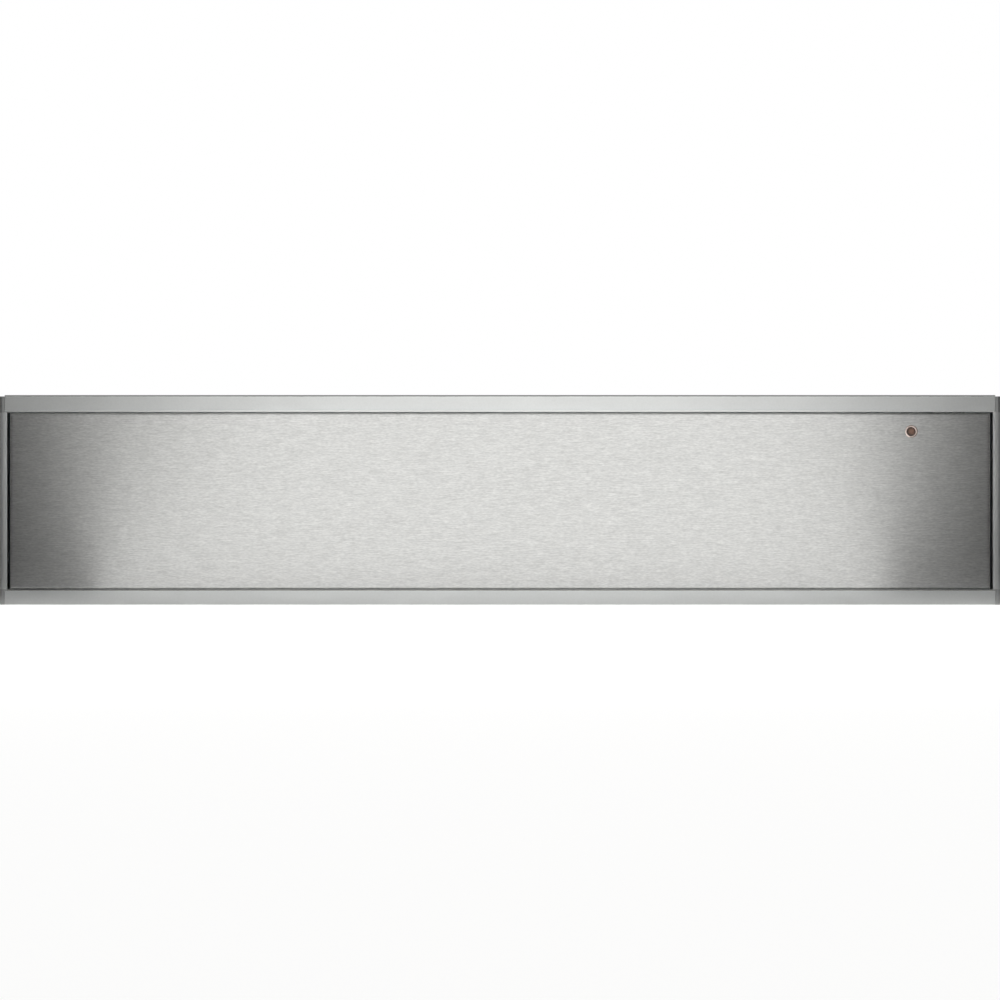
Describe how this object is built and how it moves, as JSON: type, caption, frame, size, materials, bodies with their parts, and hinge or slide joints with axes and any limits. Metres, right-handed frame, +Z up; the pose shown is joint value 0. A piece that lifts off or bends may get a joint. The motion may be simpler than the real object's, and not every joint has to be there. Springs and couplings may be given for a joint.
{
  "type": "warming drawer",
  "caption": "Handleless push-to-open warming drawer: steel front in a slim frame, on full-extension runners in a sheet casing with fan heater and controls.",
  "frame": {"origin": "centre of the part's base, on the plane that the foot pads and the front frame stand on", "axes": "+X to the user's right, +Y from the front to the rear, +Z up; the drawer opens along -Y"},
  "size_m": [0.594, 0.55, 0.124],
  "materials": {
    "stainless_brushed": "horizontally brushed stainless steel, satin",
    "stainless_sheet": "plain stainless sheet, soft satin",
    "aluminium_satin": "fine satin anodised",
    "galvanised_sheet": "zinc-coated sheet, matt with faint spangle",
    "zinc_runner": "bright zinc-plated steel",
    "cage_steel": "bare spring steel",
    "smoked_glass": "toughened, smoked, polished edges",
    "black_plastic": "fine-grained black",
    "grey_knob": "matt mid grey",
    "white_plastic": "matt white",
    "amber_lens": "unlit brown-amber, translucent",
    "rubber_black": "matt",
    "silicone_grey": "matt silicone",
    "core_board": "plain fibre board",
    "heater_steel": "heat-darkened steel tube",
    "motor_steel": "zinc-coated can",
    "circuit_green": "solder-masked board",
    "lead_insulation": "silicone-insulated wire",
    "fastener_zinc": "zinc-plated screws and rivets"
  },
  "bodies": {
    "casing": {"casing_base": "galvanised_sheet", "casing_left_wall": "galvanised_sheet", "casing_right_wall": "galvanised_sheet", "casing_top_cover": "galvanised_sheet", "casing_rear_panel": "galvanised_sheet", "front_flange": "galvanised_sheet", "frame_top_trim": "aluminium_satin", "frame_bottom_trim": "aluminium_satin", "frame_left_trim": "aluminium_satin", "frame_right_trim": "aluminium_satin", "foot_pads": "rubber_black", "stop_buffers": "rubber_black", "runner_bracket_left": "galvanised_sheet", "runner_bracket_right": "galvanised_sheet", "outer_rail_left": "zinc_runner", "outer_rail_right": "zinc_runner", "air_baffle": "galvanised_sheet", "fan_duct": "galvanised_sheet", "fan_motor": "motor_steel", "ring_heater": "heater_steel", "temperature_sensor": "cage_steel", "thermal_cutout": "black_plastic", "power_module_case": "white_plastic", "power_module_cover": "white_plastic", "power_board": "circuit_green", "mains_inlet": "black_plastic", "latch_housing": "black_plastic", "latch_spring": "cage_steel", "control_bezel": "black_plastic", "rotary_selector": "black_plastic", "indicator_lamp": "amber_lens", "control_lead": "lead_insulation", "inner_leads": "lead_insulation", "cable_clips": "white_plastic", "casing_screws": "fastener_zinc"},
    "latch_plunger": {"latch_plunger": "fastener_zinc"},
    "drawer": {"front_panel_skin": "stainless_brushed", "front_backing_panel": "stainless_sheet", "front_core": "core_board", "light_guide": "amber_lens", "drawer_floor": "stainless_sheet", "drawer_left_side": "stainless_sheet", "drawer_right_side": "stainless_sheet", "drawer_rear_wall": "stainless_sheet", "drawer_inner_front": "stainless_sheet", "glass_base_plate": "smoked_glass", "glass_rest_strips": "silicone_grey", "inner_rail_left": "zinc_runner", "inner_rail_right": "zinc_runner", "latch_strike": "fastener_zinc", "drawer_screws": "fastener_zinc"},
    "mid_rail_left": {"mid_rail_left": "zinc_runner"},
    "mid_rail_right": {"mid_rail_right": "zinc_runner"},
    "outer_cage_left": {"outer_cage_left": "cage_steel"},
    "outer_cage_right": {"outer_cage_right": "cage_steel"},
    "inner_cage_left": {"inner_cage_left": "cage_steel"},
    "inner_cage_right": {"inner_cage_right": "cage_steel"},
    "knob": {"temperature_knob": "grey_knob", "selector_shaft": "cage_steel"},
    "fan": {"fan_impeller": "aluminium_satin"}
  },
  "joints": [
    {"name": "push_in", "type": "slide", "parent": "casing", "child": "latch_plunger", "axis": [0, 1, 0], "range_m": [0, 0.0025], "stiffness_N_per_m": 4000, "springref_m": -0.0025, "deforming": ["latch_spring"]},
    {"name": "drawer_slide", "type": "slide", "parent": "latch_plunger", "child": "drawer", "axis": [0, -1, 0], "range_m": [0, 0.44]},
    {"name": "mid_rail_slide_left", "type": "slide", "parent": "casing", "child": "mid_rail_left", "axis": [0, -1, 0], "range_m": [0, 0.22]},
    {"name": "outer_cage_slide_left", "type": "slide", "parent": "casing", "child": "outer_cage_left", "axis": [0, -1, 0], "range_m": [0, 0.11]},
    {"name": "inner_cage_slide_left", "type": "slide", "parent": "casing", "child": "inner_cage_left", "axis": [0, -1, 0], "range_m": [0, 0.33]},
    {"name": "mid_rail_slide_right", "type": "slide", "parent": "casing", "child": "mid_rail_right", "axis": [0, -1, 0], "range_m": [0, 0.22]},
    {"name": "outer_cage_slide_right", "type": "slide", "parent": "casing", "child": "outer_cage_right", "axis": [0, -1, 0], "range_m": [0, 0.11]},
    {"name": "inner_cage_slide_right", "type": "slide", "parent": "casing", "child": "inner_cage_right", "axis": [0, -1, 0], "range_m": [0, 0.33]},
    {"name": "knob_turn", "type": "hinge", "parent": "casing", "child": "knob", "pos_m": [0.2565, -0.25, 0.082], "axis": [0, 1, 0], "range_deg": [0, 240]},
    {"name": "fan_spin", "type": "hinge", "parent": "casing", "child": "fan", "pos_m": [-0.12, 0.214, 0.062], "axis": [0, 1, 0], "continuous": true}
  ],
  "couplings": [
    {"joint": "mid_rail_slide_left", "follows": "drawer_slide", "ratio": 0.5},
    {"joint": "outer_cage_slide_left", "follows": "drawer_slide", "ratio": 0.25},
    {"joint": "inner_cage_slide_left", "follows": "drawer_slide", "ratio": 0.75},
    {"joint": "mid_rail_slide_right", "follows": "drawer_slide", "ratio": 0.5},
    {"joint": "outer_cage_slide_right", "follows": "drawer_slide", "ratio": 0.25},
    {"joint": "inner_cage_slide_right", "follows": "drawer_slide", "ratio": 0.75}
  ]
}
